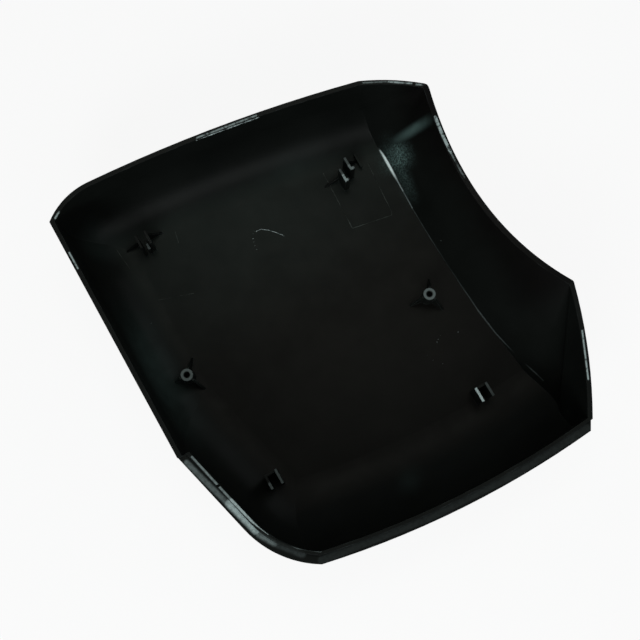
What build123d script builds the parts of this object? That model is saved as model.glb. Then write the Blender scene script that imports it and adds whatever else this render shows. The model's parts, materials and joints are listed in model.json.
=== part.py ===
from build123d import *
import math
import os

# Back cover of a vehicle mirror: one moulded shell, lying on its outer face with the open side up.
# X runs along the rows of clips, Y from the stepped lip to the plain edge, and Z out of the opening.
# Sizes are in millimetres and angles in degrees. A plan place is an (x, y) pair.

# Shell
depth = 56.0
wall = 2.8
wall_draft = 2.5
right_draft = 5.0

# Corners of the rim, and the points where two arcs of one edge meet
left_edge = -115.0
top_left = (-115.0, 122.5)
top_shoulder = (-84.0, 133.2)
top_right = (88.8, 108.2)
scoop_top = (124.8, 85.4)
scoop_bottom = (136.0, -62.3)
lower_right = (98.5, -141.6)
bottom_left = (-72.9, -129.6)
lip_bend = (-101.6, -91.1)
lip_start = (-115.0, -37.5)

# How far each edge of the rim bows out from its chord
top_bow = 4.0
short_edge_bow = 1.6
short_foot_bow = 0.2
ramp_bow = -3.5
right_edge_bow = 3.2
bottom_bow = 6.6

# Straight part of each wall above the rounding that joins it to the floor, measured on the outside
left_straight = 24.0
top_straight = 22.0
bottom_straight = 6.0
lip_straight = 16.0

# Ramp that rises from a sharp crease in the floor, and the scoop in its free edge
crease_top = (92.9, 81.0)
crease_bottom = (97.7, -97.5)
crease_bow = -4.9
scoop_dip = 12.0

# Rounding of the ramp into the two walls beside it, which narrows from the floor to the rim
ramp_top_blend = 60.0
ramp_bottom_blend = 70.0
scoop_corner = 3.0

# Stepped lip: a shoulder that the mating shell sits on, with a tongue inside it
lip_width = 7.2
lip_depth = 9.0
lip_flare = 45.0
tongue_width = 2.0
tongue_height = 2.6
nick_place = (-103.2, -62.6)
nick_width = 1.6

# Screw bosses
boss_places = ((-90.0, 8.5), (66.4, -22.3))
boss_height = 14.0
boss_radius = 4.0
pilot_radius = 1.7
pilot_depth = 11.0
gusset_count = 3
gusset_turn = 54.0
gusset_reach = 12.6
gusset_thickness = 1.3
gusset_drop = 1.0

# Lower clips: two prongs joined by a back web, open towards the stepped lip
lower_clip_places = ((-74.3, -73.9), (63.1, -91.9))
clip_height = 20.0
clip_length = 9.6
clip_gap = 5.6
prong_thickness = 1.5
web_thickness = 1.4
web_drop = 2.0

# Upper clips: free-standing prongs, level with each other on the left and staggered on the right
left_clip_place = (-72.8, 96.4)
right_clip_place = (60.4, 72.9)
upper_clip_length = 9.2
upper_clip_gap = 5.0
right_stagger = 5.0
nose_reach = 1.8
stop_place = (-72.3, 94.3)
stop_length = 6.0
stop_height = 12.0
guard_place = (73.4, 78.4)
guard_length = 9.6
guard_height = 5.0

# Ribs that brace the upper clips from both sides
brace_reach = 9.5
brace_height = 12.0
rib_thickness = 1.2
wing_reach = 11.0
wing_height = 7.0

# Room for construction: how far a plan region runs past the part, how far an arc runs past its ends,
# how far a drafted foot may lie from its outline, and how deep a feature's foot goes into the floor
reach = 320.0
overrun = 40.0
nearby = 12.0
sink = 0.6


def bow(start, end, rise):
    """Arc from start to end that stands out from its chord by rise, to the left of its direction."""
    start, end = Vector(*start), Vector(*end)
    heading = (end - start).normalized()
    return ThreePointArc(start, (start + end) / 2 + Vector(-heading.Y, heading.X) * rise, end)


def bow_into(start, curve):
    """Arc from start that runs smoothly into the beginning of a curve."""
    chord = curve @ 0 - Vector(*start)
    heading = curve % 0
    turn = math.atan2(heading.cross(chord).Z, heading.dot(chord))
    return bow(start, curve @ 0, chord.length / 2 * math.tan(turn / 2))


def longer(arc, extra):
    """The same arc, carried on round its centre past both its ends."""
    centre = arc.arc_center
    forward = 1 if (arc @ 0 - centre).cross(arc % 0).Z > 0 else -1
    turn = forward * math.degrees(extra / arc.radius)
    start = (arc @ 0 - centre).rotate(Axis.Z, -turn) + centre
    end = (arc @ 1 - centre).rotate(Axis.Z, turn) + centre
    return ThreePointArc(start, arc @ 0.5, end)


def moved_in(curve, inset):
    """The same arc or line, moved to the right of its direction by the inset."""
    points = []
    for place in (0, 0.5, 1):
        heading = curve % place
        points.append(curve @ place + Vector(heading.Y, -heading.X) * inset)
    straight = curve.geom_type == GeomType.LINE
    return Line(points[0], points[2]) if straight else ThreePointArc(*points)


def plan_region(curves):
    """Everything on the right-hand side of a chain of curves, which is carried on straight at both ends."""
    start, end = curves[0] @ 0, curves[-1] @ 1
    back, ahead = start - (curves[0] % 0) * reach, end + (curves[-1] % 1) * reach
    along = (end - start).normalized()
    inward = Vector(along.Y, -along.X) * reach
    return make_face(Curve() + curves + Polyline(end, ahead, ahead + inward, back + inward, back, start))


def leaning_room(curves, inset, lean):
    """Room inside one wall, from the floor to the rim, with the wall leaning out as it rises."""
    curves = [moved_in(curve, inset / math.cos(math.radians(lean))) for curve in curves]
    room = extrude(Pos(0, 0, inset) * plan_region(curves), amount=depth - inset)
    outline = Pos(0, 0, (depth + inset) / 2) * (Curve() + curves)
    upright = [face for face in room.faces() if abs(face.normal_at().Z) < 0.5]
    sides = [face for face in upright if face.distance_to(outline) < nearby]
    return draft(sides, Plane.XY.offset(depth), -lean)


def walled_room(curves, inset, straight):
    """Room inside one side wall, which is rounded into the floor below its straight part."""
    room = leaning_room(curves, inset, wall_draft)
    foot = Pos(0, 0, inset) * (Curve() + curves)
    edges = [edge for edge in room.edges().group_by(Axis.Z)[0] if edge.distance_to(foot) < nearby]
    return fillet(edges, depth - straight - inset)


def part_of(arc, start, end):
    """The part of an arc, or of its circle, between two points on it."""
    centre = arc.arc_center
    middle = ((start + end) / 2 - centre).normalized() * arc.radius
    return ThreePointArc(start, centre + middle, end)


def crossing(first, second):
    """Point where two arcs cross, or would if they were carried on past their ends."""
    found = longer(first, overrun).intersect(longer(second, overrun))
    return found.vertices()[0].center()


def rounded_corner(first, second, radius):
    """Arc that rounds the corner between two arcs, inside both."""
    centre = crossing(moved_in(first, radius), moved_in(second, radius))
    start, end = [
        arc.arc_center + (centre - arc.arc_center).normalized() * arc.radius for arc in (first, second)
    ]
    middle = ((start + end) / 2 - centre).normalized() * radius
    return ThreePointArc(start, centre + middle, end)


def ramp_plan(end_wall, ramp, right_wall, upper_blend, lower_blend):
    """Plan at one height of the room above the ramp, with the ramp rounded into the walls beside it."""
    upper = rounded_corner(end_wall, ramp, upper_blend)
    lower = rounded_corner(ramp, right_wall, lower_blend)
    end_wall = part_of(end_wall, longer(end_wall, overrun) @ 0, upper @ 0)
    right_wall = part_of(right_wall, lower @ 1, longer(right_wall, overrun) @ 1)
    return plan_region([end_wall, upper, part_of(ramp, upper @ 1, lower @ 0), lower, right_wall])


def ramp_room(inset):
    """Room above the ramp and inside the walls at its two ends."""
    lean = math.atan2((ramp_edge @ 0.5 - crease @ 0.5).length, depth)
    ramp_inset = inset / math.cos(lean)
    rim_blend = scoop_corner + wall
    plans = []
    for height, end_wall, ramp, upper_blend, lower_blend in (
        (0, short_foot, crease, ramp_top_blend, ramp_bottom_blend),
        (depth, short_edge, ramp_edge, rim_blend, rim_blend),
    ):
        walls = []
        for curve, tilt in ((end_wall, math.radians(wall_draft)), (right_edge, math.radians(right_draft))):
            walls.append(moved_in(curve, inset / math.cos(tilt) + (depth - height) * math.tan(tilt)))
        blends = upper_blend - inset, lower_blend - inset
        plans.append(Pos(0, 0, height) * ramp_plan(walls[0], moved_in(ramp, ramp_inset), walls[1], *blends))
    return loft(plans, ruled=True)


def hollow(inset):
    """Room inside all the walls: the outer form of the cover at no inset, its inside at one wall."""
    room = walled_room(bottom_edge, inset, bottom_straight)
    room &= walled_room(left_side, inset, left_straight)
    room &= walled_room(lip_edge, inset, lip_straight)
    room &= walled_room(top_edge, inset, top_straight)
    return room & ramp_room(inset)


def scoop():
    """Round cutter that dips into the free edge of the ramp and leaves it at the two corners."""
    chord = Line(scoop_top, scoop_bottom)
    radius = (chord.length**2 / 4 + scoop_dip**2) / (2 * scoop_dip)
    heading = chord % 0
    centre = (chord @ 0.5) + Vector(0, 0, depth - scoop_dip + radius)
    return Plane(origin=centre, z_dir=Vector(-heading.Y, heading.X)) * Cylinder(radius, 2 * overrun)


def lip_room(inset, lean):
    """Room inside the two edges that carry the stepped lip."""
    return leaning_room(bottom_edge, inset, lean) & leaning_room(lip_edge, inset, lean)


def rim_band(form, height):
    """Top of the outer form down to a height below the rim, along the stepped lip only."""
    side = 2 * reach
    band = Pos(0, lip_start[1] - side / 2, depth) * Box(side, side, 2 * height)
    return form & band


def stepped_lip(shell, form):
    """The shell with its rim thickened inwards along the lip and cut back to a shoulder outside the tongue."""
    under = (lip_width + lip_depth) * math.cos(math.radians(lip_flare))
    thick = rim_band(form, lip_depth + lip_width)
    thick = thick - lip_room(lip_width, wall_draft) - lip_room(under, -lip_flare)
    step = rim_band(form, tongue_height) - lip_room(lip_width - tongue_width, wall_draft)
    nick = Pos(*nick_place, depth) * Box(2 * lip_width, nick_width, 2 * tongue_height)
    return shell + thick - step - nick


def boss(place):
    """Screw boss with gussets round it and a blind pilot hole."""
    post = Pos(0, 0, wall + (boss_height - sink) / 2) * Cylinder(boss_radius, boss_height + sink)
    outline = Polyline(
        (0, -sink),
        (gusset_reach, -sink),
        (gusset_reach, 0),
        (boss_radius + gusset_drop, boss_height - gusset_drop),
        (0, boss_height - gusset_drop),
        close=True,
    )
    plate = extrude(Plane.XZ * make_face(outline), amount=gusset_thickness / 2, both=True)
    for number in range(gusset_count):
        post += Pos(0, 0, wall) * Rot(0, 0, gusset_turn + number * 360 / gusset_count) * plate
    return Pos(*place, 0) * post


def pilot_hole(place):
    """Blind hole for the screw, down from the top of a boss."""
    return Pos(*place, wall + boss_height - pilot_depth / 2) * Cylinder(pilot_radius, pilot_depth)


def plate(place, length, height, thickness):
    """Upright plate along Y, centred on a plan place, with its foot in the floor."""
    return Pos(*place, wall + (height - sink) / 2) * Box(thickness, length, height + sink)


def lower_clip(place):
    """Two prongs and the web behind them."""
    block = plate(place, clip_length, clip_height, clip_gap + 2 * prong_thickness)
    gap = plate((place[0], place[1] - web_thickness), clip_length, clip_height, clip_gap)
    web_top = Pos(*place, wall + clip_height) * Box(clip_gap, clip_length, 2 * web_drop)
    return block - gap - web_top


def nose(place):
    """Short return at the lip end of a prong, which keeps the mating tab from sliding out."""
    end = place[1] - (upper_clip_length - prong_thickness) / 2
    return plate((place[0] + nose_reach / 2, end), prong_thickness, clip_height, nose_reach + prong_thickness)


def brace(reach_out, height, side):
    """Triangular rib that stands beside a prong and runs down to the floor."""
    outline = Polyline((0, -sink), (reach_out, -sink), (reach_out, 0), (0, height), close=True)
    rib = extrude(Plane.XZ * make_face(outline), amount=rib_thickness / 2, both=True)
    return rib if side > 0 else mirror(rib, about=Plane.YZ)


def upper_clip(place, stagger):
    """Two prongs, the right one set back by the stagger, with a tall brace on its right and a low wing on the left."""
    half = (upper_clip_gap + prong_thickness) / 2
    back = (upper_clip_length - rib_thickness) / 2
    left = (place[0] - half, place[1] - stagger / 2)
    right = (place[0] + half, place[1] + stagger / 2)
    pair = plate(left, upper_clip_length, clip_height, prong_thickness)
    pair += plate(right, upper_clip_length, clip_height, prong_thickness)
    pair += Pos(left[0], left[1] + back, wall) * brace(wing_reach, wing_height, -1)
    pair += Pos(right[0], right[1] + back, wall) * brace(brace_reach, brace_height, 1)
    if stagger > 0:
        pair += nose(left) + nose(right)
    return pair


left_side = [Line((left_edge, -overrun), (left_edge, overrun))]
main_top = bow(top_shoulder, top_right, top_bow)
top_edge = [bow_into(top_left, main_top), main_top]
short_edge = bow(top_right, scoop_top, short_edge_bow)
short_foot = bow(top_right, scoop_top, short_foot_bow)
ramp_edge = bow(scoop_top, scoop_bottom, ramp_bow)
crease = bow(crease_top, crease_bottom, crease_bow)
right_edge = bow(scoop_bottom, lower_right, right_edge_bow)
bottom_edge = [bow(lower_right, bottom_left, bottom_bow)]
lip_side = Line(lip_bend, lip_start)
lip_edge = [bow_into(bottom_left, lip_side), lip_side]

outer_form = hollow(0)
inner_form = hollow(wall)
cover = stepped_lip(outer_form - inner_form - scoop(), outer_form)
for boss_place in boss_places:
    cover += boss(boss_place) & outer_form
for boss_place in boss_places:
    cover -= pilot_hole(boss_place)
for clip_place in lower_clip_places:
    cover += lower_clip(clip_place) & outer_form
cover += upper_clip(left_clip_place, 0) & outer_form
cover += plate(stop_place, stop_length, stop_height, prong_thickness) & outer_form
cover += upper_clip(right_clip_place, right_stagger) & outer_form
cover += plate(guard_place, guard_length, guard_height, rib_thickness) & outer_form

os.makedirs("parts", exist_ok=True)
export_step(cover, "parts/back_cover.step")
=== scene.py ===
import json
import logging
import math
import random
from dataclasses import dataclass, field
from enum import Enum
from typing import Dict, List, Sequence, Tuple, Union

import bpy
from mathutils import Matrix, Vector


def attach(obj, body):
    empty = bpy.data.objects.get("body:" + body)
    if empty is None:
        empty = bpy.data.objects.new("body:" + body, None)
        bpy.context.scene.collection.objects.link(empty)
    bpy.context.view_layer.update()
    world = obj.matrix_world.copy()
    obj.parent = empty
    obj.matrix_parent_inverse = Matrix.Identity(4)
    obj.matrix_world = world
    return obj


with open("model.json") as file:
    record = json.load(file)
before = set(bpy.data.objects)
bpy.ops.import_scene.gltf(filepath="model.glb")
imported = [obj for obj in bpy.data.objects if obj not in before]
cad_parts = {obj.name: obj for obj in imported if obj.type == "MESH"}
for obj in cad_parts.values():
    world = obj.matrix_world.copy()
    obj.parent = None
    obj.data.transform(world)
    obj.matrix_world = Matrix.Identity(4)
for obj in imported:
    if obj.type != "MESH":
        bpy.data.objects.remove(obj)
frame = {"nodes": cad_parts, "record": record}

Plan = Tuple[float, float]
Point = Tuple[float, float, float]
Colour = Tuple[float, float, float]
Range = Tuple[float, float]
Socket = bpy.types.NodeSocket
Input = Union[bpy.types.NodeSocket, float, Sequence[float]]

LOG = logging.getLogger("mirror_back_cover")
MM = 0.001
BODY = "root"
COVER = "back_cover"
WHITE = (1.0, 1.0, 1.0)
FULL = (0.0, 1.0)


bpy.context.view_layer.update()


class Coordinates(Enum):
    """Where a pattern takes its coordinates from."""

    OBJECT = "Object"
    DIRECTION = "Generated"


class Graph:
    """A material's or a world's node tree, written as sums on sockets.

    A node is made after the nodes that feed it, because a long tree that isn't in order can't be rendered.
    """

    def __init__(self, tree: bpy.types.NodeTree) -> None:
        """Starts from an empty tree.

        Args:
            tree: The node tree, which is cleared.
        """
        self.tree = tree
        self.tree.nodes.clear()
        self.places: Dict[Coordinates, Socket] = {}

    def node(self, kind: str, **settings: object) -> bpy.types.Node:
        """Adds a node and sets its own settings.

        Args:
            kind: The node's type name.
            **settings: Attributes of the node.

        Returns:
            The new node.
        """
        made = self.tree.nodes.new(kind)
        for name, value in settings.items():
            setattr(made, name, value)
        return made

    def feed(self, socket: Socket, value: Input) -> None:
        """Links a socket, or writes a plain value on it.

        Args:
            socket: The input that takes the value.
            value: Another socket, a number, or a colour of three numbers.
        """
        if isinstance(value, bpy.types.NodeSocket):
            self.tree.links.new(value, socket)
        elif socket.type == "RGBA" and not isinstance(value, float):
            socket.default_value = (*value, 1.0)
        else:
            socket.default_value = value

    def place(self, source: Coordinates = Coordinates.OBJECT) -> Socket:
        """Where the shaded point lies.

        Args:
            source: Its place in metres on an object, or its direction in the world.

        Returns:
            The place, which the whole tree shares.
        """
        if source not in self.places:
            self.places[source] = self.node("ShaderNodeTexCoord").outputs[source.value]
        return self.places[source]

    def sum(self, operation: str, *values: Input) -> Socket:
        """A Math node.

        Args:
            operation: The node's operation.
            *values: One to three sockets or numbers.

        Returns:
            The result.
        """
        made = self.node("ShaderNodeMath", operation=operation)
        for socket, value in zip(made.inputs, values):
            self.feed(socket, value)
        return made.outputs[0]

    def vector(self, operation: str, *values: Input) -> bpy.types.Node:
        """A Vector Math node.

        Args:
            operation: The node's operation.
            *values: One or two sockets or vectors.

        Returns:
            The node, whose outputs are a vector and a value.
        """
        made = self.node("ShaderNodeVectorMath", operation=operation)
        for socket, value in zip(made.inputs, values):
            self.feed(socket, value)
        return made

    def scaled(self, value: Input, factor: Input) -> Socket:
        """A vector or a colour times a number.

        Args:
            value: The vector or colour.
            factor: The number.

        Returns:
            The result.
        """
        made = self.vector("SCALE", value)
        self.feed(made.inputs["Scale"], factor)
        return made.outputs[0]

    def split(self, value: Input) -> bpy.types.Node:
        """Splits a vector.

        Args:
            value: The vector.

        Returns:
            A node with outputs X, Y and Z.
        """
        made = self.node("ShaderNodeSeparateXYZ")
        self.feed(made.inputs[0], value)
        return made

    def ramp(self, value: Input, limits: Range, span: Tuple[Input, Input] = FULL) -> Socket:
        """Turns a value between two limits smoothly into another range.

        Args:
            value: What is read.
            limits: The values that give the start and the end of the range.
            span: The start and the end of the range.

        Returns:
            The result.
        """
        made = self.node("ShaderNodeMapRange", interpolation_type="SMOOTHSTEP")
        for socket, given in zip(made.inputs, (value, *limits, *span)):
            self.feed(socket, given)
        return made.outputs[0]

    def noise(self, scale: float, detail: float, rough: float, offset: Point) -> Socket:
        """A noise pattern on the piece.

        Args:
            scale: Waves per metre.
            detail: Number of finer layers.
            rough: Share of the finer layers.
            offset: Shift of the pattern, in metres.

        Returns:
            The noise, about 0.5 on average.
        """
        moved = self.vector("ADD", self.place(), offset).outputs[0]
        made = self.node("ShaderNodeTexNoise")
        self.feed(made.inputs["Vector"], moved)
        self.feed(made.inputs["Scale"], scale)
        self.feed(made.inputs["Detail"], detail)
        self.feed(made.inputs["Roughness"], rough)
        return made.outputs["Fac"]

    def wobbled(self, scale: float, reach: float) -> Socket:
        """The shaded point's place, moved about by a noise, so that what is drawn with it has a ragged edge.

        Args:
            scale: Waves of the noise per metre.
            reach: How far it moves the place, in metres.

        Returns:
            The moved place.
        """
        made = self.node("ShaderNodeTexNoise")
        self.feed(made.inputs["Vector"], self.place())
        self.feed(made.inputs["Scale"], scale)
        self.feed(made.inputs["Detail"], 3.0)
        evened = self.vector("SUBTRACT", made.outputs["Color"], (0.5, 0.5, 0.5)).outputs[0]
        return self.vector("ADD", self.place(), self.scaled(evened, 2.0 * reach)).outputs[0]

    def mask(self, marks: Sequence["Mark"]) -> Socket:
        """How strongly a list of marks covers the shaded point.

        Args:
            marks: The marks.

        Returns:
            The strongest of them there.
        """
        covered: Input = 0.0
        for mark in marks:
            nearest: Input = 1.0
            for start, end in zip(mark.path, mark.path[1:]):
                nearest = self.sum("MINIMUM", nearest, self.distance(Vector(start) * MM, Vector(end) * MM))
            covered = self.sum("MAXIMUM", covered, self.ramp(nearest, mark.edge(), (mark.strength, 0.0)))
        return covered

    def tapered(self, marks: Sequence["Mark"], at: Socket) -> Socket:
        """How strongly a list of soft marks covers a place. Each fades to its sides and to its ends.

        Args:
            marks: The marks, whose first and last points count.
            at: The place.

        Returns:
            The strongest of them there.
        """
        covered: Input = 0.0
        for mark in marks:
            start, end = Vector(mark.path[0]) * MM, Vector(mark.path[-1]) * MM
            share, away = self.measured(at, (start + end) / 2, end - start, False)
            across = self.ramp(away, mark.edge(), (mark.strength, 0.0))
            kept = self.ramp(self.sum("ABSOLUTE", share), (0.5, 0.0))
            covered = self.sum("MAXIMUM", covered, self.sum("MULTIPLY", across, kept))
        return covered

    def distance(self, start: Vector, end: Vector) -> Socket:
        """Distance of the shaded point from the straight line between two points, in metres."""
        return self.measured(self.place(), start, end - start, True)[1]

    def measured(self, at: Socket, origin: Vector, along: Vector, ended: bool) -> Tuple[Socket, Socket]:
        """Measures a place along a straight line and away from it.

        Args:
            at: The place.
            origin: The point of the line that is counted from, in metres.
            along: The line's direction and length.
            ended: Whether the line stops at the origin and at its length.

        Returns:
            How far the place is along the line, as a share of its length, and its distance from it in metres.
        """
        offset = self.vector("SUBTRACT", at, origin).outputs[0]
        reached = self.vector("DOT_PRODUCT", offset, along).outputs["Value"]
        share = self.node("ShaderNodeMath", operation="MULTIPLY", use_clamp=ended)
        self.feed(share.inputs[0], reached)
        self.feed(share.inputs[1], 1.0 / along.length_squared)
        foot = self.scaled(along, share.outputs[0])
        return share.outputs[0], self.vector("DISTANCE", offset, foot).outputs["Value"]

    def blend(self, share: Input, first: Input, second: Input) -> Socket:
        """Mixes two colours.

        Args:
            share: Share of the second one.
            first: A colour.
            second: A colour.

        Returns:
            The mixed colour.
        """
        made = self.node("ShaderNodeMix", data_type="RGBA")
        for name, value in (("Factor_Float", share), ("A_Color", first), ("B_Color", second)):
            socket = next(one for one in made.inputs if one.identifier == name)
            self.feed(socket, value)
        return next(one for one in made.outputs if one.identifier == "Result_Color")

    def rays(self) -> Tuple[Socket, Socket]:
        """Tells what sees the shaded point.

        Returns:
            1 for what the camera sees itself, and 1 for what it sees reflected or through a clear piece.
        """
        ray = self.node("ShaderNodeLightPath")
        bounced = self.sum("MAXIMUM", ray.outputs["Is Glossy Ray"], ray.outputs["Is Transmission Ray"])
        return ray.outputs["Is Camera Ray"], bounced

    def glowing(self, kind: str, colour: Colour, strength: float) -> bpy.types.Node:
        """A shader that gives off light.

        Args:
            kind: The node's type name.
            colour: Colour of the light.
            strength: Strength of the light.

        Returns:
            The shader.
        """
        made = self.node(kind)
        self.feed(made.inputs["Color"], colour)
        self.feed(made.inputs["Strength"], strength)
        return made

    def layered(self, share: Input, first: bpy.types.Node, second: bpy.types.Node) -> bpy.types.Node:
        """Mixes two shaders.

        Args:
            share: Share of the second one.
            first: A shader.
            second: A shader.

        Returns:
            The mixed shader.
        """
        made = self.node("ShaderNodeMixShader")
        for socket, value in zip(made.inputs, (share, first.outputs[0], second.outputs[0])):
            self.feed(socket, value)
        return made

    def end(self, kind: str, shader: bpy.types.Node) -> None:
        """Ends the tree with its output, fed by a shader."""
        self.feed(self.node(kind).inputs["Surface"], shader.outputs[0])

    def end_in_plastic(self, colour: Input, specular: float, roughness: Input, normal: Socket) -> None:
        """Ends a material's tree with plastic.

        Args:
            colour: Its colour.
            specular: How strongly it reflects.
            roughness: Its roughness.
            normal: Its normal, with all its fine relief.
        """
        shader = self.node("ShaderNodeBsdfPrincipled")
        self.feed(shader.inputs["Base Color"], colour)
        self.feed(shader.inputs["Specular IOR Level"], specular)
        self.feed(shader.inputs["Roughness"], roughness)
        self.feed(shader.inputs["Normal"], normal)
        self.end("ShaderNodeOutputMaterial", shader)


def new_material(name: str) -> Tuple[bpy.types.Material, Graph]:
    """Starts a material.

    Args:
        name: Its name.

    Returns:
        The material and the graph of its empty tree.
    """
    material = bpy.data.materials.new(name)
    material.use_nodes = True
    return material, Graph(material.node_tree)


@dataclass(frozen=True)
class Pattern:
    """A noise between two limits, by which a finish varies.

    Args:
        scale: Waves per metre.
        detail: Number of finer layers.
        rough: Share of the finer layers.
        offset: Shift of the pattern, in metres.
        limits: Values of the noise, about 0.5 on average, at which the change starts and ends.
        span: The results at those limits.
    """

    scale: float
    detail: float = 2.0
    rough: float = 0.5
    offset: Point = (0.0, 0.0, 0.0)
    limits: Range = (0.3, 0.7)
    span: Range = FULL

    def draw(self, graph: Graph) -> Socket:
        """Adds the pattern to a graph and gives its result."""
        noise = graph.noise(self.scale, self.detail, self.rough, self.offset)
        return graph.ramp(noise, self.limits, self.span)


@dataclass(frozen=True)
class Relief:
    """A fine unevenness of a surface.

    Args:
        scale: Waves per metre.
        height: Height of the waves, in metres.
        rough: Share of the finer waves.
        offset: Shift of the pattern, in metres.
        strength: How strongly it shows, from 0 to 1.
    """

    scale: float
    height: float
    rough: float = 0.5
    offset: Point = (0.0, 0.0, 0.0)
    strength: float = 1.0

    def draw(self, graph: Graph, *normal: Socket) -> Socket:
        """Adds the relief to a graph.

        Args:
            graph: The graph.
            *normal: The normal that it is added to, if it isn't the plain one.

        Returns:
            The uneven normal.
        """
        waves = graph.noise(self.scale, 2.0, self.rough, self.offset)
        bump = graph.node("ShaderNodeBump")
        graph.feed(bump.inputs["Strength"], self.strength)
        graph.feed(bump.inputs["Distance"], self.height)
        graph.feed(bump.inputs["Height"], waves)
        for given in normal:
            graph.feed(bump.inputs["Normal"], given)
        return bump.outputs[0]


@dataclass(frozen=True)
class Mark:
    """A lightened stretch of the cover along a line of points, used for painted highlights and painted sheen,
    some with smudges.

    Args:
        path: The line's points, in millimetres.
        reach: How far the mark is full on each side of the line, in millimetres.
        fade: How far it then takes to end, in millimetres.
        strength: How strong it is. 1 is full, and what is over 1 widens the full middle of a tapered mark.
    """

    path: Sequence[Point]
    reach: float
    fade: float
    strength: float

    def edge(self) -> Range:
        """Distances from the line at which the mark starts to fade and at which it has ended, in metres."""
        return self.reach * MM, (self.reach + self.fade) * MM


def level(height: float, *plan: Plan) -> Tuple[Point, ...]:
    """A level line at one height through places in the plan, in millimetres."""
    return tuple((x, y, height) for x, y in plan)


# Heights of the rim, of the lip's shoulder, of the clips' prongs and of the upper left clip's stop plate
RIM = 56.0
SHOULDER = 53.4
PRONG_TOP = 22.8
STOP_TOP = 14.8

# Painted highlights, drawn as whitened plastic, on the rim, on the stepped lip, on the clips' prongs and
# along the crease under the ramp
RIM_HIGHLIGHTS = (
    Mark(level(RIM, (90.6, 105.9), (103.6, 99.2)), 0.2, 0.5, 0.35),
    Mark(level(RIM, (104.6, 98.6), (116.2, 90.8)), 0.3, 0.5, 0.85),
    Mark(level(RIM, (118.4, 88.8), (121.6, 86.7)), 0.3, 0.6, 0.5),
    Mark(((119.3, 66.5, 50.6), (117.9, 55.0, 48.1), (117.1, 43.5, 46.3)), 0.6, 0.6, 0.9),
    Mark(((117.1, 43.5, 46.3), (116.5, 26.0, 44.6)), 0.2, 0.6, 0.35),
    Mark(level(RIM, (124.4, -89.8), (112.1, -115.6)), 0.2, 0.5, 0.85),
    Mark(level(RIM, (-113.3, 100.0), (-113.3, 89.0)), 0.2, 0.5, 0.8),
    Mark(level(RIM, (-110.8, 122.9), (-107.2, 125.1)), 0.3, 0.6, 0.7),
    Mark(level(RIM, (-14.0, 125.2), (24.0, 119.8)), 0.2, 0.6, 0.6),
)
# Painted highlights on the lip's shoulder and rim, and a faint painted lift of light along the bottom
# shoulder
LIP_HIGHLIGHTS = (
    Mark(level(SHOULDER, (-111.8, -42.0), (-100.8, -80.0)), 0.6, 1.6, 0.25),
    Mark(level(SHOULDER, (-102.0, -74.0), (-96.0, -95.0)), 1.0, 1.9, 0.9),
    Mark(level(SHOULDER, (-94.9, -97.6), (-90.0, -105.6)), 1.0, 2.2, 0.35),
    Mark(level(SHOULDER, (-90.0, -105.6), (-79.6, -118.6)), 1.0, 2.4, 0.08),
    Mark(level(SHOULDER, (-72.0, -127.4), (-8.0, -137.2), (50.0, -140.8), (97.0, -139.0)), 1.6, 1.0, 0.028),
    Mark(level(RIM, (-107.4, -41.0), (-99.6, -73.0)), 0.3, 0.6, 0.45),
    Mark(level(RIM, (-99.6, -73.0), (-95.2, -89.0), (-90.4, -99.5)), 0.5, 0.6, 0.9),
    Mark(level(RIM, (-90.4, -99.5), (-80.4, -114.4), (-70.0, -122.6)), 0.3, 0.6, 0.3),
)
# Painted highlights on the tops of the clips' prongs and of the stop plate
PRONG_HIGHLIGHTS = (
    Mark(level(PRONG_TOP, (59.6, -88.2), (59.6, -96.0)), 0.9, 0.5, 1.0),
    Mark(level(PRONG_TOP, (66.6, -88.2), (66.6, -96.0)), 0.7, 0.6, 0.10),
    Mark(level(PRONG_TOP, (57.2, 74.0), (57.2, 70.0)), 0.8, 0.5, 0.12),
    Mark(level(PRONG_TOP, (57.2, 69.5), (57.2, 66.0)), 0.8, 1.2, 0.6),
    Mark(level(PRONG_TOP, (63.6, 79.0), (63.6, 74.4)), 0.8, 0.5, 0.15),
    Mark(level(PRONG_TOP, (63.6, 73.4), (64.6, 71.2)), 0.8, 1.2, 0.4),
    Mark(level(PRONG_TOP, (-77.8, -76.0), (-77.8, -78.4)), 0.8, 1.6, 0.22),
    Mark(level(PRONG_TOP, (-70.8, -70.0), (-70.8, -78.4)), 0.8, 1.6, 0.16),
    Mark(level(STOP_TOP, (-72.3, 94.0), (-72.3, 91.6)), 0.8, 0.8, 0.20),
)
# Painted highlight along the crease under the ramp, drawn as whitened plastic
CREASE_HIGHLIGHT = (
    Mark(((91.3, 92.0, 3.7), (90.7, 78.5, 3.6)), 0.2, 0.7, 0.13),
    Mark(((90.7, 78.0, 3.6), (90.1, 60.0, 3.4)), 0.3, 0.8, 0.9),
    Mark(((90.1, 60.0, 3.4), (89.6, 47.0, 3.2)), 0.25, 0.7, 0.6),
    Mark(((89.6, 47.0, 3.2), (89.0, 34.0, 3.0)), 0.2, 0.6, 0.3),
    Mark(((89.0, 34.0, 3.0), (88.8, 10.0, 3.0), (90.6, -45.0, 3.0)), 0.15, 0.5, 0.09),
    Mark(((90.6, -45.0, 3.0), (92.4, -64.0, 3.4), (97.6, -86.0, 5.0), (101.0, -104.0, 9.0)), 0.15, 0.6, 0.13),
)
# Painted glint on the brightest stretch of the crease
CREASE_GLINT = (
    Mark(((90.8, 81.0, 3.6), (89.9, 53.0, 3.4)), 0.2, 1.3, 1.5),
)
# Grainy painted highlight patches at the top of the ramp and along the crease, and a short light stroke low
# on the ramp
GRAINY_HIGHLIGHTS = (
    Mark(((86.5, 69.5, -2.0), (104.5, 62.5, 29.0)), 0.0, 13.5, 1.2),
    Mark(((96.5, 88.0, 14.0), (91.6, 30.0, 6.0)), 0.0, 10.0, 0.48),
    Mark(((95.2, -90.0, 8.0), (108.0, -80.0, 20.0)), 0.0, 1.6, 0.15),
)
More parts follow.
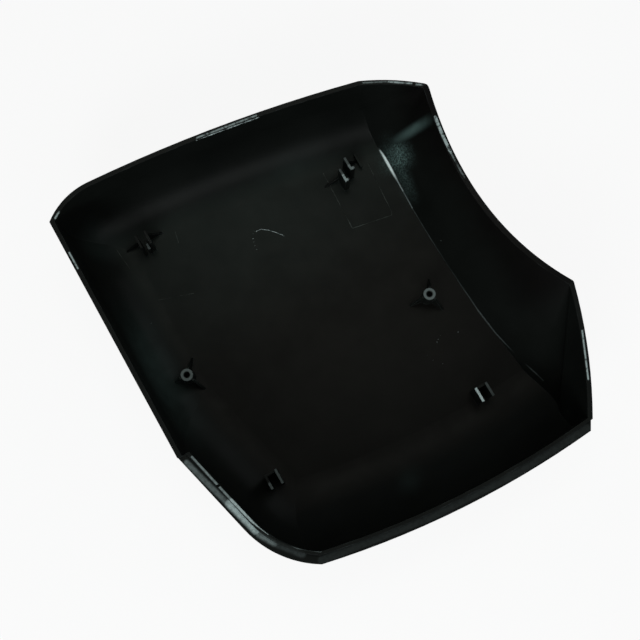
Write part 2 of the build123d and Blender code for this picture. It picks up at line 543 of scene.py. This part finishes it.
# Painted sheen: a painted highlight streak at the top of the ramp, then painted light with some smudges on
# the left wall, the upper left corner and the other walls
SHEEN = (
    Mark(((95.0, 76.4, 9.5), (119.0, 66.6, 53.0)), 0.0, 4.8, 1.6),
    Mark(((-104.0, -45.0, 16.0), (-104.0, 85.0, 16.0)), 0.0, 24.0, 0.22),
    Mark(((-108.0, 122.0, 24.0), (-80.0, 96.0, 4.0)), 0.0, 16.0, 0.16),
    Mark(((-12.0, -122.0, 20.0), (8.0, -104.0, 8.0)), 0.0, 12.0, 0.13),
    Mark(((70.0, 92.0, 8.0), (0.0, 102.0, 8.0)), 0.0, 16.0, 0.05),
    Mark(((92.0, -130.0, 25.0), (118.0, -122.0, 30.0)), 0.0, 12.0, 0.06),
)


@dataclass(frozen=True)
class MouldedPlastic:
    """Near-black moulded plastic with a fine grain, soft waviness and edges whitened by rubbing, with painted
    light in its colour: painted highlights on the rim, lip, prongs, crease and boss tops, painted sheen, a
    lighter floor band and lighter walls, and painted shade on the ramp.

    Args:
        name: Name of the material.
        floor: Colour of the matt inside of the floor.
        wall: Colour of the walls, lighter than the floor as painted light, since the lamps light them less.
        ramp: Colour of the outer part of the ramp, darkened as painted shade.
        rubbed_and_highlit: Colour of the whitened places: edges whitened by rubbing, and painted highlights
            on the rim, lip, prongs, crease and boss tops.
        glint: Colour of the painted glint on the brightest stretch of the crease.
        sheen: Colour of the painted sheen, which has some smudges, and of the grainy painted highlight
            patches.
        floor_sheen: Colour of the floor near the plain edge, lighter there as a painted sheen.
        floor_roughness: Roughness of the floor.
        wall_roughness: Roughness of the walls.
        rim_roughness: Roughness of the rim and of other narrow faces that look up.
        specular: How strongly the plastic reflects.
        edge_reach: How far the rubbing goes in from an edge, in metres.
        edge_turn: Likeness of the plain and the rounded normal where the rubbing starts and where it is full.
        edge_wear_and_highlight: How much of the edges is whitened, partly by rubbing and partly as painted
            highlight.
        fine: Fine unevenness of the whitened places.
        broken: Coarser gaps in the whitening of the rim.
        cloudy: Unevenness of the painted sheen.
        speckle: Grain of the grainy painted highlight patches.
        dull: Slow change of the colour all over.
        haze: Unevenness of the roughness.
        waves: Waviness of the moulded surface.
        grain: The moulded grain.
        ragged: Waves per metre and reach in metres of the raggedness of soft borders.
        facing: How squarely a place looks up where it starts to count as level and where it is quite level.
        floor_heights: Heights at which the floor has ended and below which it is full, in metres.
        floor_sheen_reach: Places along Y where the painted floor sheen starts and where it is full, in
            metres.
        ramp_shade_reach: Places along X where the painted shade on the ramp starts and where it is darkest,
            in metres.
        ramp_shade_end: Places along Y before which the ramp has no painted shade and past which it has, in
            metres.
        boss_top: Height of the tops of the screw bosses, in metres.
        boss_facing: How squarely a boss's top looks up, as for facing.
        boss_drop: How far below a boss's top its painted ring highlight starts and where it is full, in
            metres.
        ring_inside: Distances from a boss's axis where its painted ring highlight starts and where it is
            full, in metres.
        ring_outside: Distances from its axis where the ring has ended and before which it is full, in metres.
        ring_highlight_strength: How bright the painted ring highlight is.
    """

    name: str = "moulded_plastic"
    floor: Colour = (0.0042, 0.0040, 0.0033)
    wall: Colour = (0.0058, 0.0066, 0.0060)
    ramp: Colour = (0.0030, 0.0027, 0.0025)
    rubbed_and_highlit: Colour = (0.42, 0.50, 0.50)
    glint: Colour = (0.88, 1.00, 0.99)
    sheen: Colour = (0.125, 0.200, 0.190)
    floor_sheen: Colour = (0.0100, 0.0130, 0.0115)
    floor_roughness: float = 0.47
    wall_roughness: float = 0.34
    rim_roughness: float = 0.41
    specular: float = 0.08
    edge_reach: float = 0.0006
    edge_turn: Range = (0.99, 0.8)
    edge_wear_and_highlight: Pattern = Pattern(90.0, 3.0, 0.6, limits=(0.45, 0.7), span=(0.01, 0.10))
    fine: Pattern = Pattern(500.0, 3.0, 0.6, limits=(0.35, 0.6), span=(0.65, 1.0))
    broken: Pattern = Pattern(260.0, 4.0, 0.7, (0.1, 0.9, 0.4), (0.38, 0.56), (0.12, 1.0))
    cloudy: Pattern = Pattern(60.0, 3.0, 0.6, (0.4, 0.1, 0.6), span=(0.30, 0.55))
    speckle: Pattern = Pattern(800.0, 4.0, 0.8, (0.2, 0.5, 0.1), (0.40, 0.68), (0.10, 1.0))
    dull: Pattern = Pattern(22.0, 3.0, 0.55, span=(0.85, 1.15))
    haze: Pattern = Pattern(70.0, 5.0, 0.6, (0.3, 0.1, 0.2), span=(-0.03, 0.04))
    waves: Relief = Relief(14.0, 0.0003, 0.4, (0.7, 0.4, 0.1))
    grain: Relief = Relief(1500.0, 0.00003, 0.6)
    ragged: Range = (70.0, 0.004)
    facing: Range = (0.86, 0.995)
    floor_heights: Range = (0.02, 0.006)
    floor_sheen_reach: Range = (-0.01, 0.10)
    ramp_shade_reach: Range = (0.100, 0.122)
    ramp_shade_end: Range = (-0.075, -0.050)
    boss_top: float = 0.0168
    boss_facing: Range = (0.7, 0.95)
    boss_drop: Range = (0.001, 0.0004)
    ring_inside: Range = (0.0019, 0.0025)
    ring_outside: Range = (0.0040, 0.0035)
    ring_highlight_strength: float = 0.24

    def edges(self, graph: Graph) -> Tuple[Socket, Socket]:
        """Finds the sharp edges.

        Args:
            graph: The material's graph.

        Returns:
            How near an edge is, from 0 to 1, and the normal rounded over it.
        """
        rounded = graph.node("ShaderNodeBevel", samples=4)
        graph.feed(rounded.inputs["Radius"], self.edge_reach)
        flat = graph.node("ShaderNodeNewGeometry").outputs["Normal"]
        turn = graph.vector("DOT_PRODUCT", rounded.outputs[0], flat).outputs["Value"]
        return graph.ramp(turn, self.edge_turn), rounded.outputs[0]

    def upness_and_height(self, graph: Graph) -> Tuple[Socket, Socket]:
        """How squarely the shaded point looks up, and its height in metres."""
        normal = graph.split(graph.node("ShaderNodeNewGeometry").outputs["Normal"])
        place = graph.split(graph.place())
        return normal.outputs["Z"], place.outputs["Z"]

    def open_floor(self, graph: Graph) -> Tuple[Socket, Socket]:
        """Finds the flat floor inside.

        Args:
            graph: The material's graph.

        Returns:
            How much a place is part of the floor, and how level it is, both from 0 to 1.
        """
        upness, height = self.upness_and_height(graph)
        flat = graph.ramp(upness, self.facing)
        return graph.sum("MULTIPLY", flat, graph.ramp(height, self.floor_heights)), flat

    def boss_ring_highlights(self, graph: Graph) -> Socket:
        """Finds the ring-shaped tops of the screw bosses, which get a painted highlight.

        Args:
            graph: The material's graph.

        Returns:
            1 on a boss's ring and 0 elsewhere.
        """
        ring_highlights: Input = 0.0
        for mount in frame["record"]["mounts"]:
            if mount["kind"] == "bore":
                x, y, _ = mount["pos_m"]
                middle = Vector((x, y, self.boss_top))
                away = graph.distance(middle, middle + Vector((0.0, 0.0, 0.1 * MM)))
                inside = graph.ramp(away, self.ring_inside)
                ring = graph.sum("MULTIPLY", inside, graph.ramp(away, self.ring_outside))
                ring_highlights = graph.sum("MAXIMUM", ring_highlights, ring)
        upness, height = self.upness_and_height(graph)
        flat = graph.ramp(upness, self.boss_facing)
        low, full = self.boss_drop
        high = graph.ramp(height, (self.boss_top - low, self.boss_top - full))
        return graph.sum("MULTIPLY", graph.sum("MULTIPLY", flat, high), ring_highlights)

    def wear_and_highlights(self, graph: Graph, near_edge: Socket) -> Socket:
        """Finds where edges, rim, lip, clips and crease are whitened: edges by rubbing and painted highlight,
        the rim, lip, prongs and crease by painted highlights.

        Args:
            graph: The material's graph.
            near_edge: How near an edge is.

        Returns:
            How whitened a place is, from 0 to 1.
        """
        fine = self.fine.draw(graph)
        worn_and_highlit = graph.sum("MULTIPLY", near_edge, self.edge_wear_and_highlight.draw(graph))
        broken = self.broken.draw(graph)
        for marks, texture in ((RIM_HIGHLIGHTS, broken), (LIP_HIGHLIGHTS, fine), (PRONG_HIGHLIGHTS, fine), (CREASE_HIGHLIGHT, fine)):
            worn_and_highlit = graph.sum("MAXIMUM", worn_and_highlit, graph.sum("MULTIPLY", graph.mask(marks), texture))
        return worn_and_highlit

    def painted_sheen(self, graph: Graph, ragged: Socket) -> Socket:
        """Finds the painted sheen, which has some smudges, and the grainy painted highlight patches.

        Args:
            graph: The material's graph.
            ragged: The shaded point's place, raggedly moved.

        Returns:
            How strong they are at a place.
        """
        cloudy = self.cloudy.draw(graph)
        sheen_share = graph.sum("MULTIPLY", graph.tapered(SHEEN, graph.place()), cloudy)
        speckle = self.speckle.draw(graph)
        grainy = graph.sum("MULTIPLY", graph.tapered(GRAINY_HIGHLIGHTS, ragged), speckle)
        return graph.sum("MAXIMUM", sheen_share, grainy)

    def clean(self, graph: Graph, floor: Socket, ragged: Socket) -> Socket:
        """Colours the floor, with a painted sheen near its plain edge, the walls, lighter as painted light,
        and the ramp, whose outer part has painted shade.

        Args:
            graph: The material's graph.
            floor: How much a place is part of the floor.
            ragged: The shaded point's place, raggedly moved.

        Returns:
            The colour without painted sheen, painted highlights and whitening by rubbing.
        """
        place = graph.split(ragged)
        # Painted sheen: the floor is lighter towards its plain edge
        sheened_floor = graph.blend(graph.ramp(place.outputs["Y"], self.floor_sheen_reach), self.floor, self.floor_sheen)
        # Painted shade: the outer part of the ramp, short of its lower end, is darker
        outward = graph.ramp(place.outputs["X"], self.ramp_shade_reach)
        ramp = graph.sum("MULTIPLY", outward, graph.ramp(place.outputs["Y"], self.ramp_shade_end))
        base = graph.blend(floor, graph.blend(ramp, self.wall, self.ramp), sheened_floor)
        return graph.scaled(base, self.dull.draw(graph))

    def roughness(self, graph: Graph, floor: Socket, flat: Socket) -> Socket:
        """Finds the roughness.

        Args:
            graph: The material's graph.
            floor: How much a place is part of the floor.
            flat: How level it is.

        Returns:
            The roughness.
        """
        haze = self.haze.draw(graph)
        rough = graph.ramp(flat, FULL, (self.wall_roughness, self.rim_roughness))
        return graph.sum("ADD", haze, graph.ramp(floor, FULL, (rough, self.floor_roughness)))

    def build(self) -> bpy.types.Material:
        """Makes the material.

        Returns:
            The material.
        """
        material, graph = new_material(self.name)
        near_edge, rounded = self.edges(graph)
        worn_and_highlit = self.wear_and_highlights(graph, near_edge)
        ragged = graph.wobbled(*self.ragged)
        # Painted highlight on the ring-shaped tops of the screw bosses
        ring_highlights = graph.sum("MULTIPLY", self.boss_ring_highlights(graph), self.ring_highlight_strength)
        worn_and_highlit = graph.sum("MAXIMUM", worn_and_highlit, ring_highlights)
        # Painted sheen and grainy painted highlight patches
        sheen_share = self.painted_sheen(graph, ragged)
        floor, flat = self.open_floor(graph)
        colour = graph.blend(sheen_share, self.clean(graph, floor, ragged), self.sheen)
        # Edges whitened by rubbing, and painted highlights on the rim, lip, prongs, crease and boss tops
        colour = graph.blend(worn_and_highlit, colour, self.rubbed_and_highlit)
        # Painted glint on the brightest stretch of the crease
        colour = graph.blend(graph.tapered(CREASE_GLINT, graph.place()), colour, self.glint)
        rough = self.roughness(graph, floor, flat)
        uneven = self.grain.draw(graph, self.waves.draw(graph, rounded))
        graph.end_in_plastic(colour, self.specular, rough, uneven)
        return material


@dataclass(frozen=True)
class RaisedPlastic:
    """Finish of what stands proud of the moulded surface: witness lines, a scratch's burr and flecks.

    Args:
        name: Name of the material.
        low: Colour where little of it is whitened.
        high: Colour where most of it is whitened.
        patches: Waves per metre of the change from one to the other.
        roughness: Roughness.
        unevenness: How far the roughness varies either way.
        specular: How strongly it reflects.
        relief: Its fine unevenness.
    """

    name: str
    low: Colour
    high: Colour
    patches: float = 160.0
    roughness: float = 0.6
    unevenness: float = 0.08
    specular: float = 0.1
    relief: Relief = Relief(2500.0, 0.00004, strength=0.6)

    def build(self) -> bpy.types.Material:
        """Makes the material.

        Returns:
            The material.
        """
        material, graph = new_material(self.name)
        patch = Pattern(self.patches, 4.0, 0.65, (0.3, 0.8, 0.2), limits=(0.35, 0.65)).draw(graph)
        colour = graph.blend(patch, self.low, self.high)
        span = (self.roughness - self.unevenness, self.roughness + self.unevenness)
        rough = Pattern(900.0, span=span).draw(graph)
        graph.end_in_plastic(colour, self.specular, rough, self.relief.draw(graph))
        return material


@dataclass(frozen=True)
class PaleFloor:
    """Matt pale floor that the camera and reflections see as nearly white.

    Args:
        name: Name of the material.
        colour: Colour that the floor has for the light on it.
        mottle: Slight unevenness of that colour.
        glow: Share of plain white in what the camera sees.
    """

    name: str = "pale_floor"
    colour: Colour = (0.82, 0.82, 0.82)
    mottle: Pattern = Pattern(30.0, 3.0, span=(0.97, 1.0))
    glow: float = 0.9

    def build(self) -> bpy.types.Material:
        """Makes the material.

        Returns:
            The material.
        """
        material, graph = new_material(self.name)
        camera, bounced = graph.rays()
        seen = graph.sum("MAXIMUM", camera, bounced)
        matt = graph.node("ShaderNodeBsdfDiffuse")
        graph.feed(matt.inputs["Color"], graph.scaled(self.colour, self.mottle.draw(graph)))
        white = graph.glowing("ShaderNodeEmission", WHITE, 1.0)
        mixed = graph.layered(graph.sum("MULTIPLY", seen, self.glow), matt, white)
        graph.end("ShaderNodeOutputMaterial", mixed)
        return material


def choose(*pieces: bpy.types.Object) -> None:
    """Selects only the given objects, the last of them active."""
    bpy.ops.object.select_all(action="DESELECT")
    for piece in pieces:
        piece.select_set(True)
        bpy.context.view_layer.objects.active = piece


def finished(name: str, parts: Sequence[bpy.types.Object], finish: bpy.types.Material) -> bpy.types.Object:
    """Joins the parts of one piece, gives it its finish and lets it ride on the cover's body.

    Args:
        name: The piece's name.
        parts: The objects that it is made of.
        finish: Its material.

    Returns:
        The piece.
    """
    choose(*parts)
    bpy.ops.object.join()
    bpy.ops.object.transform_apply(location=True, rotation=True, scale=True)
    piece = bpy.context.object
    piece.name = name
    piece.data.name = name
    bpy.ops.object.mode_set(mode="EDIT")
    bpy.ops.mesh.select_all(action="SELECT")
    bpy.ops.mesh.normals_make_consistent(inside=False)
    bpy.ops.object.mode_set(mode="OBJECT")
    piece.data.materials.clear()
    piece.data.materials.append(finish)
    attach(piece, BODY)
    return piece


class Stock(Enum):
    """What a straight length starts as."""

    STRIP = "strip"
    BAR = "bar"


def straight(stock: Stock, start: Vector, end: Vector, section: Tuple[float, float]) -> bpy.types.Object:
    """Models a straight length between two points.

    Args:
        stock: What it starts as.
        start: One end of its middle line, in metres.
        end: The other end.
        section: Its width and height, in metres. A strip is flat whatever its height is.

    Returns:
        The length.
    """
    along = end - start
    turn = (0.0, 0.0, math.atan2(along.y, along.x))
    bpy.ops.object.select_all(action="DESELECT")
    if stock is Stock.STRIP:
        bpy.ops.mesh.primitive_plane_add(size=1.0, location=(start + end) / 2, rotation=turn)
    else:
        bpy.ops.mesh.primitive_cube_add(size=1.0, location=(start + end) / 2, rotation=turn)
    piece = bpy.context.object
    piece.scale = (along.length, *section)
    bpy.ops.object.transform_apply(location=True, rotation=True, scale=True)
    return piece


def roughen(cuts: int, reach: float, seed: int) -> None:
    """Divides the active piece and moves its corners about.

    Args:
        cuts: Number of cuts across each of its edges.
        reach: How far the corners move, in metres.
        seed: Seed of their moves.
    """
    bpy.ops.object.mode_set(mode="EDIT")
    bpy.ops.mesh.select_all(action="SELECT")
    bpy.ops.mesh.subdivide(number_cuts=cuts)
    bpy.ops.transform.vertex_random(offset=reach, seed=seed)
    bpy.ops.object.mode_set(mode="OBJECT")


@dataclass(frozen=True)
class Hairline:
    """A hair-thin raised line on the inside of the cover, such as a mould's witness line.

    Args:
        start: One end in the plan, in millimetres.
        end: The other end.
        width: Its width, in millimetres.
        height: How far it stands proud, in millimetres.
        step: Length of one of its stretches, in millimetres.
        waver: How far it wavers from a straight line, in millimetres.
        drop_height: Height that it is laid down from, in millimetres.
        sunk: Share of its thickness that is sunk in.
        seed: Seed of its wavering.
    """

    start: Plan
    end: Plan
    width: float = 0.36
    height: float = 0.14
    step: float = 1.5
    waver: float = 0.05
    drop_height: float = 12.0
    sunk: float = 1 / 3
    seed: int = 1

    def build(self, cover: bpy.types.Object) -> bpy.types.Object:
        """Lays a strip on the cover's inside and thickens it.

        Args:
            cover: What the line lies on.

        Returns:
            The line.
        """
        start = Vector((*self.start, self.drop_height)) * MM
        end = Vector((*self.end, self.drop_height)) * MM
        line = straight(Stock.STRIP, start, end, (self.width * MM, 1.0))
        cuts = max(2, round((end - start).length / MM / self.step))
        roughen(cuts, self.waver * MM, self.seed)
        self.seat(line, cover)
        return line

    def seat(self, line: bpy.types.Object, cover: bpy.types.Object) -> None:
        """Drops the strip onto the cover and gives it its thickness.

        Args:
            line: The strip, which is the active piece.
            cover: What it falls on.
        """
        wrap = line.modifiers.new("seat", "SHRINKWRAP")
        wrap.target = cover
        wrap.wrap_method = "PROJECT"
        wrap.use_project_z = True
        wrap.use_negative_direction = True
        wrap.use_positive_direction = False
        thick = line.modifiers.new("thickness", "SOLIDIFY")
        thick.thickness = self.height / (1 - self.sunk) * MM
        thick.offset = 1 - 2 * self.sunk
        for modifier in ("seat", "thickness"):
            bpy.ops.object.modifier_apply(modifier=modifier)


@dataclass
class WitnessLines:
    """Outlines that the mould's inserts leave round the two upper clips.

    Args:
        finish: Their finish.
        lines: The lines, in the order in which they are laid.
    """

    finish: RaisedPlastic = RaisedPlastic("witness_line", (0.014, 0.016, 0.014), (0.060, 0.070, 0.064))
    lines: Sequence[Hairline] = (
        Hairline((50.3, 83.4), (48.1, 41.6), seed=1),
        Hairline((48.1, 41.6), (74.8, 36.5), seed=2),
        Hairline((74.8, 36.5), (75.9, 39.0), seed=3),
        Hairline((79.0, 74.7), (75.9, 39.0), width=0.28, seed=4),
        Hairline((-91.5, 104.8), (-89.9, 89.4), width=0.28, seed=5),
        Hairline((-52.9, 96.9), (-54.6, 89.0), seed=6),
        Hairline((-84.0, 62.4), (-62.0, 54.9), width=0.28, seed=7),
    )

    def build(self, cover: bpy.types.Object) -> bpy.types.Object:
        """Lays all the lines.

        Args:
            cover: What they lie on.

        Returns:
            The lines as one piece.
        """
        parts = [line.build(cover) for line in self.lines]
        return finished("witness_lines", parts, self.finish.build())


@dataclass
class Scratch:
    """A curved scratch in the floor with a raised burr and loose-looking flecks, and single flecks elsewhere.

    Args:
        finish: Its finish.
        path: The scratch's points in the plan, in millimetres.
        flecks: Places of the flecks in the plan and their sizes, in millimetres.
        fleck_shape: Length, width and height of a fleck of size 1, in millimetres.
        fleck_raggedness: How far the corners of such a fleck are moved, in millimetres.
        stretch: Least and greatest length of a fleck, as a share of its size.
        drop_height: Height that the flecks fall from, in millimetres.
        seed: Seed of their shape, turns and lengths.
    """

    finish: RaisedPlastic = RaisedPlastic("whitened_plastic", (0.10, 0.13, 0.13), (0.55, 0.62, 0.62), 400.0)
    path: Sequence[Plan] = (
        (-7.3, 70.9), (-3.7, 70.6), (0.4, 67.4), (4.2, 63.2), (6.6, 59.9),
    )
    flecks: Sequence[Tuple[float, float, float]] = (
        (-12.8, 60.2, 0.45), (-12.5, 62.9, 0.5), (-12.0, 65.4, 0.35), (-11.3, 67.6, 0.5), (-9.6, 70.4, 0.4),
        (-8.2, 71.6, 0.3), (6.9, 59.2, 0.4), (5.6, 63.4, 0.25),
        (57.3, -49.8, 0.4), (58.8, -48.7, 0.3), (61.2, -47.2, 0.25), (72.2, -50.9, 0.45), (-94.6, 50.6, 0.5),
        (49.2, -58.4, 0.3), (53.1, -63.5, 0.25), (47.6, -54.0, 0.2), (92.3, 4.9, 0.5),
    )
    fleck_shape: Point = (1.0, 0.6, 0.35)
    fleck_raggedness: float = 0.07
    stretch: Range = (0.8, 1.5)
    drop_height: float = 20.0
    seed: int = 7

    def fleck(self) -> bpy.types.Object:
        """Models one fleck at the origin, a millimetre long.

        Returns:
            The fleck.
        """
        bpy.ops.object.select_all(action="DESELECT")
        bpy.ops.mesh.primitive_ico_sphere_add(subdivisions=2, radius=0.5 * MM, location=(0, 0, 0))
        bpy.ops.object.mode_set(mode="EDIT")
        bpy.ops.mesh.select_all(action="SELECT")
        bpy.ops.transform.resize(value=self.fleck_shape)
        bpy.ops.transform.vertex_random(offset=self.fleck_raggedness * MM, seed=self.seed)
        bpy.ops.object.mode_set(mode="OBJECT")
        return bpy.context.object

    def scatter(self, cover: bpy.types.Object) -> List[bpy.types.Object]:
        """Copies the fleck to its places, each copy turned, sized and pressed into the cover.

        Args:
            cover: What the flecks lie on.

        Returns:
            The copies.
        """
        spread = random.Random(self.seed)
        model = self.fleck()
        copies = []
        for x, y, size in self.flecks:
            above = Vector((x, y, self.drop_height)) * MM
            found, place, _, _ = cover.ray_cast(above, Vector((0.0, 0.0, -1.0)))
            if not found:
                continue
            copy = model.copy()
            copy.data = model.data.copy()
            copy.location = place
            copy.rotation_euler = (0.0, 0.0, spread.uniform(0.0, math.pi))
            copy.scale = (size * spread.uniform(*self.stretch), size, size)
            bpy.context.scene.collection.objects.link(copy)
            choose(copy)
            bpy.ops.object.transform_apply(location=True, rotation=True, scale=True)
            copies.append(copy)
        bpy.data.objects.remove(model)
        return copies

    def build(self, cover: bpy.types.Object) -> bpy.types.Object:
        """Makes the scratch and its flecks.

        Args:
            cover: What they lie on.

        Returns:
            All of it as one piece.
        """
        parts = self.scatter(cover)
        for number, (start, end) in enumerate(zip(self.path, self.path[1:])):
            stretch = Hairline(start, end, width=0.26, height=0.10, step=0.5, waver=0.10, seed=20 + number)
            parts.append(stretch.build(cover))
        return finished("scratch", parts, self.finish.build())


@dataclass
class RimBurr:
    """Ragged burr that stands in from the inner edge of the rim, just below its top. Its whitened colour is
    partly a painted highlight along the top of the rim.

    Args:
        finish: Its finish.
        path: Points of the rim's inner edge in the plan, in millimetres.
        top: Height of its top, in millimetres.
        size: Its thickness and height, in millimetres.
        cuts: Number of cuts across each edge of a length of it.
        raggedness: How far its corners are moved, in millimetres.
    """

    finish: RaisedPlastic = RaisedPlastic("rim_burr_highlight_plastic", (0.03, 0.035, 0.035), (0.50, 0.58, 0.58), 300.0)
    path: Sequence[Plan] = ((-15.0, 124.6), (-6.0, 123.3), (5.0, 121.7), (15.0, 120.2), (25.0, 118.5))
    top: float = 55.6
    size: Tuple[float, float] = (0.7, 0.9)
    cuts: int = 8
    raggedness: float = 0.3

    def length_of(self, start: Plan, end: Plan, seed: int) -> bpy.types.Object:
        """Models one straight length of the burr.

        Args:
            start: One end in the plan.
            end: The other end.
            seed: Seed of its raggedness.

        Returns:
            The length.
        """
        thickness, height = self.size
        middle = self.top - height / 2
        first, last = Vector((*start, middle)) * MM, Vector((*end, middle)) * MM
        burr = straight(Stock.BAR, first, last, (thickness * MM, height * MM))
        roughen(self.cuts, self.raggedness * MM, seed)
        return burr

    def build(self) -> bpy.types.Object:
        """Makes the burr.

        Returns:
            The burr.
        """
        ends = list(zip(self.path, self.path[1:]))
        parts = [self.length_of(start, end, number) for number, (start, end) in enumerate(ends)]
        return finished("rim_burr", parts, self.finish.build())


@dataclass
class BackCover:
    """The moulded cover: its CAD node, dressed, and the small raised marks on it.

    Args:
        plastic: What the cover is moulded in.
        witness_lines: The mould's lines.
        scratch: The scratch and the flecks.
        burr: The burr at the rim.
    """

    plastic: MouldedPlastic = field(default_factory=MouldedPlastic)
    witness_lines: WitnessLines = field(default_factory=WitnessLines)
    scratch: Scratch = field(default_factory=Scratch)
    burr: RimBurr = field(default_factory=RimBurr)

    def dress(self) -> bpy.types.Object:
        """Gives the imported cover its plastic.

        Returns:
            The cover's CAD node.
        """
        cover = frame["nodes"][COVER]
        material = self.plastic.build()
        for slot in cover.material_slots:
            slot.material = material
        return cover

    def build(self) -> List[bpy.types.Object]:
        """Dresses the cover and adds its marks.

        Returns:
            All the cover's pieces.
        """
        cover = self.dress()
        return [cover, self.witness_lines.build(cover), self.scratch.build(cover), self.burr.build()]


@dataclass(frozen=True)
class Lamp:
    """A soft rectangular lamp that points at the cover.

    Args:
        name: Name of the lamp.
        place: Where it hangs, in metres.
        size: Width and height, in metres.
        power: Watts.
        tint: Colour of its light.
        aim: The point that it faces.
    """

    name: str
    place: Point
    size: Tuple[float, float]
    power: float
    tint: Colour = WHITE
    aim: Point = (0.0, 0.0, 0.02)

    def build(self) -> bpy.types.Object:
        """Hangs the lamp.

        Returns:
            The lamp.
        """
        light = bpy.data.lights.new(self.name, "AREA")
        light.shape = "RECTANGLE"
        light.size, light.size_y = self.size
        light.energy = self.power
        light.color = self.tint
        lamp = bpy.data.objects.new(self.name, light)
        lamp.location = self.place
        lamp.rotation_euler = (Vector(self.aim) - Vector(self.place)).to_track_quat("-Z", "Y").to_euler()
        bpy.context.scene.collection.objects.link(lamp)
        return lamp


@dataclass
class Studio:
    """Pale floor, lamps, surroundings and the camera.

    Args:
        floor: Finish of the floor.
        floor_side: Side of the square floor, in metres.
        sky: Colour of the dim light from all round.
        sky_strength: Its strength.
        horizon: How far up the white along the horizon reaches, from 0 to 1.
        lens: Focal length, in millimetres, on a sensor of 36 mm.
        camera_place: Where the camera stands, in metres. It looks at the origin.
        camera_right: The direction that is to the right in the picture.
        lamps: The lamps.
    """

    floor: PaleFloor = field(default_factory=PaleFloor)
    floor_side: float = 12.0
    sky: Colour = (0.9, 0.95, 1.0)
    sky_strength: float = 0.15
    horizon: float = 0.2
    lens: float = 54.34
    camera_place: Point = (-0.05350, -0.09343, 0.61059)
    camera_right: Point = (0.86777, -0.49697, 0.0)
    lamps: Sequence[Lamp] = (
        Lamp("key", (-0.75, -0.70, 0.64), (0.45, 0.35), 5.6, (0.93, 1.0, 1.0)),
        Lamp("front", (-0.15, -0.95, 0.80), (1.2, 0.7), 3.4, (0.94, 1.0, 0.98)),
        Lamp("back", (0.17, 0.36, 1.27), (0.7, 0.36), 2.8, (0.97, 1.0, 0.90)),
        Lamp("side", (0.95, 0.05, 0.70), (0.9, 0.9), 1.6, (0.93, 1.0, 1.0)),
    )

    def lay_floor(self) -> bpy.types.Object:
        """Lays the floor that the cover rests on.

        Returns:
            The floor.
        """
        bpy.ops.mesh.primitive_plane_add(size=self.floor_side, location=(0, 0, 0))
        floor = bpy.context.object
        floor.name = "floor"
        floor.data.materials.append(self.floor.build())
        return floor

    def surround(self) -> None:
        """Makes the world: dim above, and pale along the horizon for what is seen and reflected."""
        world = bpy.data.worlds.new("surroundings")
        world.use_nodes = True
        bpy.context.scene.world = world
        graph = Graph(world.node_tree)
        camera, bounced = graph.rays()
        direction = graph.split(graph.place(Coordinates.DIRECTION))
        low = graph.ramp(direction.outputs["Z"], (self.horizon, 0.0))
        pale = graph.sum("MAXIMUM", camera, graph.sum("MULTIPLY", bounced, low))
        dim = graph.glowing("ShaderNodeBackground", self.sky, self.sky_strength)
        white = graph.glowing("ShaderNodeBackground", WHITE, 1.0)
        graph.end("ShaderNodeOutputWorld", graph.layered(pale, dim, white))

    def aim_camera(self) -> bpy.types.Object:
        """Puts the camera where the photograph was taken.

        Returns:
            The camera.
        """
        lens = bpy.data.cameras.new("camera")
        lens.lens = self.lens
        lens.sensor_width = 36.0
        camera = bpy.data.objects.new("camera", lens)
        place = Vector(self.camera_place)
        back = place.normalized()
        right = Vector(self.camera_right).normalized()
        turn = Matrix((right, back.cross(right), back)).transposed()
        camera.matrix_world = Matrix.Translation(place) @ turn.to_4x4()
        bpy.context.scene.collection.objects.link(camera)
        bpy.context.scene.camera = camera
        return camera

    def build(self) -> None:
        """Sets up everything round the cover."""
        self.lay_floor()
        self.surround()
        for lamp in self.lamps:
            lamp.build()
        self.aim_camera()
        bpy.context.scene.view_settings.view_transform = "Standard"


def main() -> None:
    """Builds the cover's pieces and the studio in order, and reports them."""
    logging.basicConfig(level=logging.INFO, format="%(name)s: %(message)s")
    bpy.ops.object.select_all(action="DESELECT")
    for piece in BackCover().build():
        LOG.info("%s has %d faces", piece.name, len(piece.data.polygons))
    Studio().build()


if __name__ == "__main__":
    main()
